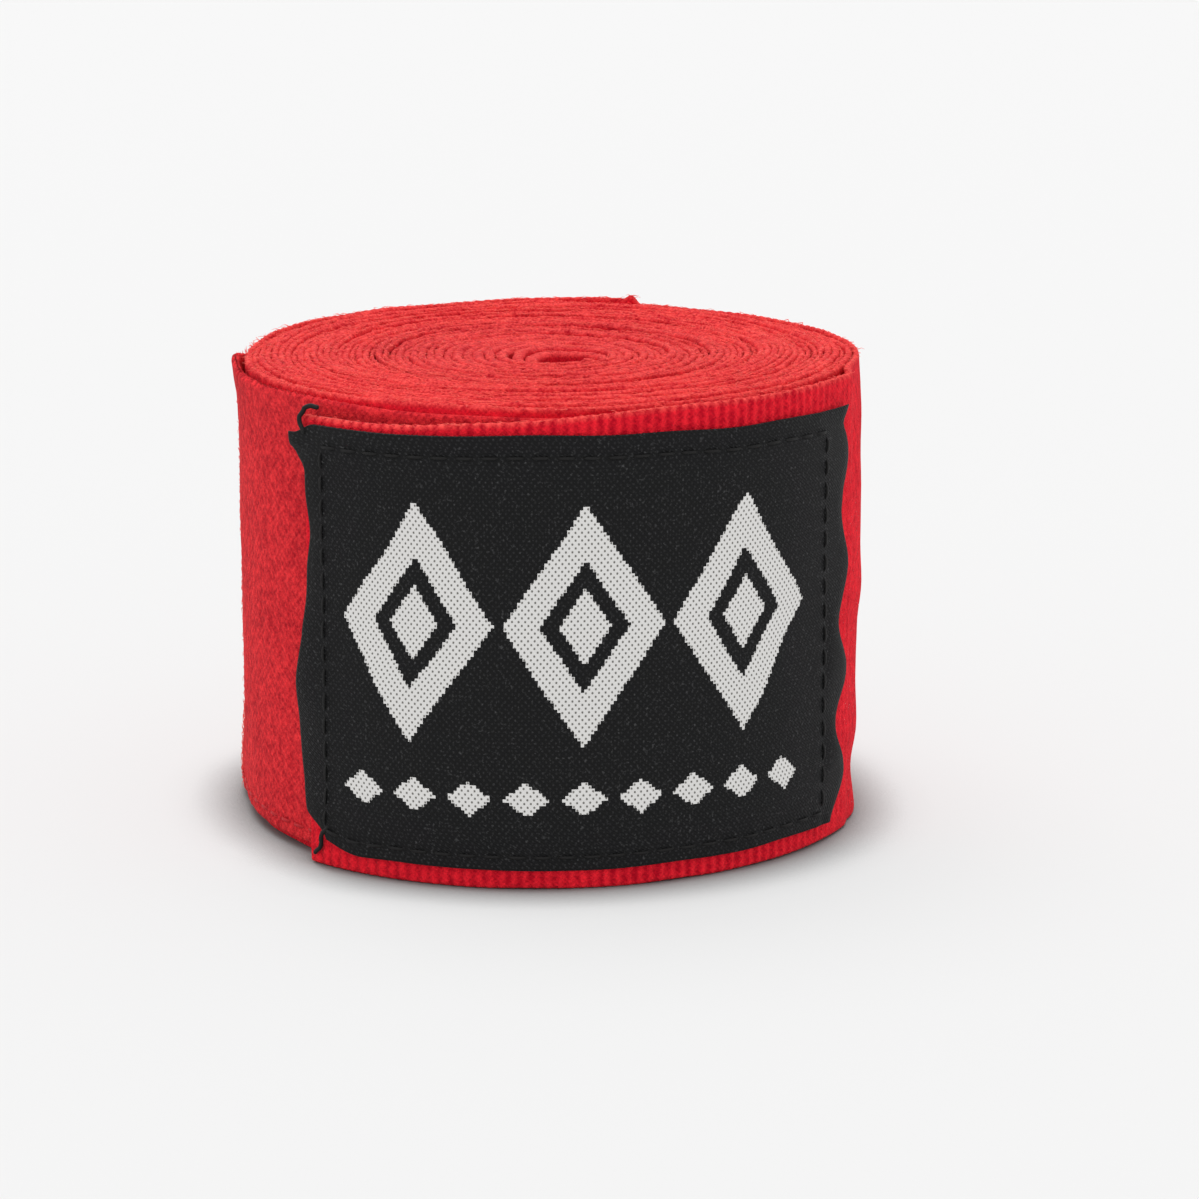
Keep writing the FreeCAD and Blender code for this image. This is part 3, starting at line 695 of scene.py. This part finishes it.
# Satin floats leave staggered pinholes 0.68 by 0.4 mm apart, and the twill's fine diagonal shows
# every 0.5 mm.
hole_turns = (2 * math.pi / 0.68, 2 * math.pi / 0.8, 0)
holes = node(tree, "ShaderNodeVectorMath", {0: cloth, 1: hole_turns}, operation="MULTIPLY")
hole_axes = node(tree, "ShaderNodeSeparateXYZ", {0: holes.outputs[0]}).outputs
waves = [arithmetic(tree, "SINE", hole_axes[axis]) for axis in (0, 1)]
staggered = arithmetic(tree, "MULTIPLY", waves[0], waves[1])
pinhole = node(
    tree, "ShaderNodeMapRange", {"Value": staggered, "From Min": 0.35, "From Max": 0.85}
).outputs[0]
slope = node(tree, "ShaderNodeVectorMath", {0: cloth, 1: (1.0, 1.6, 0)}, operation="DOT_PRODUCT")
twill = arithmetic(tree, "SINE", arithmetic(tree, "MULTIPLY", slope.outputs["Value"], 2 * math.pi / 0.5))
noise = {"Vector": body, "Scale": 1 / (0.3 * MM), "Detail": 2.0}
grain = node(tree, "ShaderNodeTexNoise", noise).outputs["Fac"]
specks = node(
    tree, "ShaderNodeMapRange", {"Value": grain, "From Min": 0.6, "From Max": 0.75, "To Max": 0.5}
).outputs[0]
dotted = arithmetic(tree, "MULTIPLY", pinhole, grain)
speckled = arithmetic(tree, "MULTIPLY_ADD", dotted, 0.35, specks, use_clamp=True)
black = between(tree, speckled, linear("#0c0c0d"), linear("#4c4c4d"))
satin = between(tree, pinhole, linear("#d3d2d0"), linear("#686662"))
colour = between(tree, white, black, satin)
ground = arithmetic(tree, "MULTIPLY_ADD", twill, 0.3, grain)
pitted = arithmetic(tree, "SUBTRACT", 1.2, pinhole)
mixed = node(tree, "ShaderNodeMix", {"Factor": white, "A": ground, "B": pitted}, data_type="FLOAT")
relief = mixed.outputs["Result"]
bump = node(tree, "ShaderNodeBump", {"Height": relief, "Strength": 0.5, "Distance": 0.1 * MM})
surface(tree, output, {
    "Base Color": colour, "Roughness": 0.68, "Specular IOR Level": 0.16, "Normal": bump.outputs[0],
    "Sheen Weight": 0.02, "Sheen Roughness": 0.4,
})
label.data.materials.append(damask)
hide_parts("woven_label")
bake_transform(label)


# ---- The lockstitches
# The label is sewn with black thread and the loop patch with red, in a lockstitch rectangle a
# little inside its edges. Each stitch is a short float that dips into the cloth at both ends.
STITCH_SPAN = 2.0
STITCH_PITCH = 2.5
THREAD_WIDTH = 0.36


def stitch_lines(along, up, along_step, up_step, to_space):
    """Lines of five stations for many stitches: each goes from its start by its step, and its
    ends dip into the cloth while its middle stands up by half a thread."""
    part = np.linspace(0, 1, 5)[None, :]
    rise = THREAD_WIDTH * (0.5 - 0.75 * np.abs(2 * part - 1) ** 3)
    return to_space(along[:, None] + along_step * part, up[:, None] + up_step * part, rise)


def rectangle(first, last, low, high):
    """The starts and steps of a lockstitch rectangle: two rows along it and two columns up."""
    along = np.linspace(first, last - STITCH_SPAN, int((last - first) / STITCH_PITCH))
    up = np.linspace(low + 0.6, high - 0.6 - STITCH_SPAN, int((high - low) / STITCH_PITCH))
    rows = [(along, np.full(len(along), level), STITCH_SPAN, 0.0) for level in (low, high)]
    return rows + [(np.full(len(up), end), up, 0.0, STITCH_SPAN) for end in (first, last)]


def on_label(along, up, rise):
    """A stitch's stations on the label's face."""
    place = place_at(along, FLAP_OUT)
    level = up + label_sway(along, up)
    return np.dstack([spot(place, label_out(along, up) + LABEL_THICKNESS + rise), level])


def on_loop_patch(along, up, rise):
    """A stitch's stations on the loop patch, where the sewing presses the pile down."""
    along = along + LOOP_START
    out = LOOP_FACE + 0.85 + pile_flare(along, up) + rise
    return np.dstack([spot(place_at(along, LOOP_FACE), out), up])


def sewn(name, seams, to_space, material):
    """The stitches of several seams as one piece."""
    lines = np.concatenate([stitch_lines(*seam, to_space) for seam in seams])
    radii = np.broadcast_to(THREAD_WIDTH / 2 * np.array([0.6, 1, 1, 1, 0.6]), lines.shape[:2])
    centre = lines.mean(axis=1, keepdims=True)
    reference = centre * [1, 1, 0] / np.linalg.norm(centre[..., :2], axis=2, keepdims=True)
    piece = tubes(name, lines, radii, reference, flatness=0.7)
    piece.data.materials.append(material)
    return piece


def spun_thread(name, dark, light):
    """Sewing thread spun from polyester: a slight gloss and fine twisted plies."""
    material, tree, output = new_material(name)
    body = node(tree, "ShaderNodeTexCoord").outputs["Object"]
    noise = {"Vector": body, "Scale": 1 / (0.25 * MM), "Detail": 2.0}
    plies = node(tree, "ShaderNodeTexNoise", noise).outputs["Fac"]
    colour = between(tree, plies, linear(dark), linear(light))
    bump = node(tree, "ShaderNodeBump", {"Height": plies, "Strength": 0.5, "Distance": 0.08 * MM})
    surface(tree, output, {
        "Base Color": colour, "Roughness": 0.6, "Specular IOR Level": 0.2, "Normal": bump.outputs[0],
    })
    return material


black_thread = spun_thread("black polyester thread", "#080808", "#1c1b1b")
red_thread = spun_thread("red polyester thread", "#8e101b", "#c8242b")
label_seams = rectangle(4.4, FAR_SEAM, LABEL_LOW + 1.5, LABEL_HIGH - 2.3)
label_stitches = sewn("label_lockstitches", label_seams, on_label, black_thread)
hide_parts("label_stitching")
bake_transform(label_stitches)

patch_seams = rectangle(1.6, LOOP_LENGTH - 1.6, LOOP_LOW + 1.6, LOOP_HIGH - 1.6)
patch_stitches = sewn("loop_patch_lockstitches", patch_seams, on_loop_patch, red_thread)
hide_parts("loop_patch_stitching")
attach(patch_stitches, "rolled_band")


# ---- The loose thread ends
# Two ends of the label's sewing thread were left long at its free end: the upper one lies over the
# band's selvedge, and the lower one hangs down the flap.
TAIL_RADIUS = 0.26


def thread_tail(name, points, node_name):
    """A thread end as a line through a few points. Each point is a distance along and up the flap
    and out from its face, and straight steps join them, with a small sway along the flap. The
    radius tapers at both ends."""
    along, up, out = np.array(points).T
    step = np.linspace(0, len(points) - 1, 24)
    place = place_at(np.interp(step, range(len(points)), along) + 0.12 * np.sin(3 * step), FLAP_OUT)
    out = FLAP_OUT + np.interp(step, range(len(points)), out)
    line = np.column_stack([spot(place, out), np.interp(step, range(len(points)), up)])[None]
    radius = TAIL_RADIUS * np.minimum(1, 0.45 + 2.5 * np.minimum(step, step[-1] - step))[None]
    piece = tubes(name, line, radius, [0.35, -0.8, 0.3])
    piece.data.materials.append(black_thread)
    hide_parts(node_name)
    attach(piece, "closing_flap")
    return piece


thread_tail(
    "upper_thread_end",
    [(2.3, 46.2, 0.75), (1.7, 47.1, 0.65), (1.5, 48.0, 0.5),
     (1.8, 48.8, 0.2), (2.6, 49.1, -0.1), (3.3, 48.9, -0.4)],
    "thread_tail_top",
)
thread_tail(
    "lower_thread_end",
    [(4.9, 4.9, 0.75), (4.0, 4.0, 0.75), (3.7, 3.0, 0.65), (3.2, 2.0, 0.5), (2.5, 1.2, 0.4)],
    "thread_tail_bottom",
)


# ---- The thumb loop
# A cotton tape folded in two and sewn across the band's inner end with bar tacks. It lies folded
# back along the band between the core's turns, so none of it shows while the band is rolled.
TAPE_LOW, TAPE_HIGH = 15.0, 35.0
TAPE_LEG = 45.3
TAPE_STATIONS = 70
TAPE_INNER = BAND_THICKNESS + SEWN_GAP
TAPE_THICKNESS = 0.6
TAPE_SLIT = 0.06
TAPE_OUTER = TAPE_INNER + 2 * TAPE_THICKNESS + TAPE_SLIT
tape_end = distance_at(LAST_PLACE, TAPE_INNER)
leg_share = np.linspace(0, 1, TAPE_STATIONS)
back = tape_end - 0.1 - leg_share * TAPE_LEG
turn_angle = np.linspace(90, -90, 9)
fold_radius = (TAPE_OUTER - TAPE_INNER) / 2
fold = np.stack([-np.cos(np.radians(turn_angle)), np.sin(np.radians(turn_angle))], -1)
height, fullness = levels(TAPE_LOW, TAPE_HIGH, np.linspace(TAPE_LOW + 0.6, TAPE_HIGH - 0.6, 16), 0.25)
half = TAPE_THICKNESS / 2 * fullness
fold_foot = back[-1]
fold_middle = (TAPE_OUTER + TAPE_INNER) / 2
leg_out = fold_radius - TAPE_THICKNESS / 2
tape_along = np.concatenate([back, fold_foot + leg_out * fold[1:-1, 0], back[::-1]])
facing_out = np.concatenate(
    [np.tile([0.0, 1.0], (TAPE_STATIONS, 1)), fold[1:-1], np.tile([0.0, -1.0], (TAPE_STATIONS, 1))]
)
tape_out = fold_middle + leg_out * facing_out[:, 1]
near = [tape_along[:, None] - half * facing_out[:, :1], tape_out[:, None] - half * facing_out[:, 1:]]
far = [tape_along[:, None] + half * facing_out[:, :1], tape_out[:, None] + half * facing_out[:, 1:]]
level = np.broadcast_to(height, near[0].shape)
thumb_loop = closed_cloth(
    "thumb_loop_tape",
    np.dstack([spot(place_at(near[0], TAPE_INNER), near[1]), level]),
    np.dstack([spot(place_at(far[0], TAPE_INNER), far[1]), level]),
    np.linspace(0, 92, len(tape_along)),
    height,
)
tape_cotton = cotton("plain cotton tape", "#9a0c1a", "#d8242d", "#d8242d", 0.6, 0.12, 0.4)
thumb_loop.data.materials.append(tape_cotton)
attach(thumb_loop, "rolled_band")
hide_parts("thumb_loop")

tack_starts = np.linspace(TAPE_LOW + 0.3, TAPE_HIGH - 0.3 - STITCH_SPAN, 8)
tack_seams = [
    (np.full(8, tape_end - 1.6 - 4.0 * row), tack_starts, 0.0, STITCH_SPAN) for row in range(3)
]


def on_tape(along, up, rise):
    """A tack's stations on the folded tape's outer face, drawn almost flat into it."""
    return np.dstack([spot(place_at(along, TAPE_INNER), TAPE_OUTER - 0.12 + 0.6 * rise), up])


tacks = sewn("thumb_loop_bar_tacks", tack_seams, on_tape, red_thread)
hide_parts("thumb_loop_stitching")
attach(tacks, "rolled_band")


# ---- The fuzz
# Washed cotton and brushed pile shed short loose fibres, which lie over the band's selvedge and
# stand off the loop patch. Each is drawn about three times thicker than life, so that it shows.
FIBRE_RADIUS = 0.032
PILE_FIBRES = 3600


def fibres(name, root, ahead, rise, length, seed):
    """Curved fibres from roots in millimetres: each runs its length ahead, arches up off the cloth
    by a share of that, and sways once to the side."""
    random = np.random.default_rng(seed)
    count = len(root)
    part = np.linspace(0, 1, 3)[None, :, None]
    arch, sway, phase = (
        random.uniform(low, high, (count, 1, 1))
        for low, high in ((0.0, 0.22), (0.05, 0.3), (0, 2 * math.pi))
    )
    side = np.cross(ahead, rise)
    path = part * ahead[:, None] + arch * np.sin(math.pi * part * 0.8) * rise[:, None]
    path = path + sway * (np.sin(4 * part + phase) - np.sin(phase)) * side[:, None]
    lines = root[:, None] + length[:, None, None] * path
    radii = FIBRE_RADIUS * np.broadcast_to([1.0, 0.85, 0.4], (count, 3))
    piece = tubes(name, lines, radii, rise[:, None] + 0.3 * side[:, None], sides=4)
    piece.data.materials.append(loose_fibre)
    return piece


def tangent_frame(place):
    """The directions outwards and along the band at each place, as rows of x, y and z."""
    out = np.column_stack([outward(place), np.zeros(len(place))])
    return out, np.cross([0, 0, 1], out)


def rim_fuzz(name, first, last, count, seed):
    """Fibres that lie over a stretch's upper selvedge, most of them along it."""
    random = np.random.default_rng(seed)
    ends = [distance_at(place, BAND_THICKNESS) for place in (first, last)]
    place = place_at(random.uniform(*ends, count), BAND_THICKNESS)
    out = middle_out(place, BAND_WIDTH) + BAND_THICKNESS * random.uniform(-0.4, 0.4, count)
    root = cloth_spot(place, out, BAND_WIDTH - 0.1)
    outwards, along = tangent_frame(place)
    turn = random.normal(0, 0.7, (count, 1)) + math.pi * random.integers(0, 2, (count, 1))
    ahead = np.cos(turn) * along + 0.5 * np.sin(turn) * outwards
    rise = np.tile([0.0, 0.0, 1.0], (count, 1))
    return fibres(name, root, ahead, rise, random.uniform(0.5, 1.3, count), seed + 1)


def face_fuzz(name, place, height, out, length, seed):
    """Fibres that stand off an upright face in every direction."""
    random = np.random.default_rng(seed)
    root = np.column_stack([spot(place, out), height])
    outwards, along = tangent_frame(place)
    turn = random.uniform(0, 2 * math.pi, (len(place), 1))
    ahead = np.cos(turn) * along + np.sin(turn) * np.array([0, 0, 1]) + 0.12 * outwards
    ahead /= np.linalg.norm(ahead, axis=1, keepdims=True)
    return fibres(name, root, ahead, outwards, length * random.uniform(0.5, 1.2, len(place)), seed + 1)


loose_fibre, tree, output = new_material("loose cotton fibre")
body = node(tree, "ShaderNodeTexCoord").outputs["Object"]
tint = node(tree, "ShaderNodeTexNoise", {"Vector": body, "Scale": 1 / (1.5 * MM), "Detail": 1.0})
colour = between(tree, tint.outputs["Fac"], linear("#e8322f"), linear("#ff7067"))
surface(tree, output, {
    "Base Color": colour, "Roughness": 0.9, "Specular IOR Level": 0.1,
    "Sheen Weight": 0.4, "Sheen Tint": linear("#f7b0a6"),
})

roll_fuzz = rim_fuzz("roll_rim_fuzz", BOUND_PLACE, LAST_PLACE, 9500, 31)
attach(roll_fuzz, "rolled_band")
turn_fuzz = rim_fuzz("last_turn_rim_fuzz", SEAM_PLACE, BOUND_PLACE, 380, 33)
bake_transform(turn_fuzz)
flap_fuzz = rim_fuzz("flap_rim_fuzz", tip_place, SEAM_PLACE, 320, 35)
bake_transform(flap_fuzz)
random = np.random.default_rng(41)
pile_along = random.uniform(LOOP_START, BARE_END, PILE_FIBRES)
pile_height = random.uniform(LOOP_LOW, LOOP_HIGH, PILE_FIBRES)
pile_out = LOOP_FACE + 0.88 + pile_flare(pile_along, pile_height)
pile_fuzz = face_fuzz("loop_patch_fuzz", place_at(pile_along, LOOP_FACE), pile_height, pile_out, 0.8, 42)
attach(pile_fuzz, "rolled_band")


# ---- The floor, the lights and the camera
# A plain pale floor that glows a little like a light table, so that the shadows stay soft. The glow is
# dimmed by ambient occlusion within ten millimetres of the roll, a painted contact shadow at its foot. One
# large soft light stands overhead, and the camera looks from a little above the roll.
bpy.ops.mesh.primitive_plane_add(size=4)
floor = bpy.context.object
floor.name = "floor"
paper, tree, output = new_material("matt white paper")
body = node(tree, "ShaderNodeTexCoord").outputs["Object"]
fibre = node(tree, "ShaderNodeTexNoise", {"Vector": body, "Scale": 900.0})
bump = node(tree, "ShaderNodeBump", {"Height": fibre.outputs["Fac"], "Strength": 0.02, "Distance": 0.1 * MM})
# Painted contact shadow: the floor's glow fades where ambient occlusion finds the roll close by.
painted_shadow_occlusion = node(tree, "ShaderNodeAmbientOcclusion", {"Distance": 10 * MM}, samples=8)
glow = node(
    tree, "ShaderNodeMapRange",
    {"Value": painted_shadow_occlusion.outputs["AO"], "From Min": 0.45, "From Max": 0.9, "To Min": 0.0, "To Max": 0.62},
)
surface(tree, output, {
    "Base Color": linear("#7a7a7a"), "Roughness": 0.9, "Specular IOR Level": 0.1,
    "Normal": bump.outputs[0], "Emission Color": linear("#ffffff"), "Emission Strength": glow.outputs[0],
})
floor.data.materials.append(paper)

world = bpy.data.worlds.new("studio")
bpy.context.scene.world = world
world.use_nodes = True
background = world.node_tree.nodes["Background"].inputs
background["Color"].default_value = linear("#ffffff")
background["Strength"].default_value = 1.16

lamp = bpy.data.lights.new("overhead_softbox", "SUN")
lamp.energy = 1.1
lamp.angle = math.radians(40)
overhead = bpy.data.objects.new("overhead_softbox", lamp)
bpy.context.scene.collection.objects.link(overhead)
overhead.rotation_euler = (math.radians(-24), 0, math.radians(35))

lens = bpy.data.cameras.new("camera")
lens.lens = 118.0
lens.sensor_width = 36.0
lens.clip_start = 0.01
camera = bpy.data.objects.new("camera", lens)
bpy.context.scene.collection.objects.link(camera)
camera.location = (0.0055, -0.420, 0.1266)
camera.rotation_euler = (math.pi / 2 - 0.243, 0, 0)
bpy.context.scene.camera = camera
bpy.context.scene.view_settings.view_transform = "Standard"
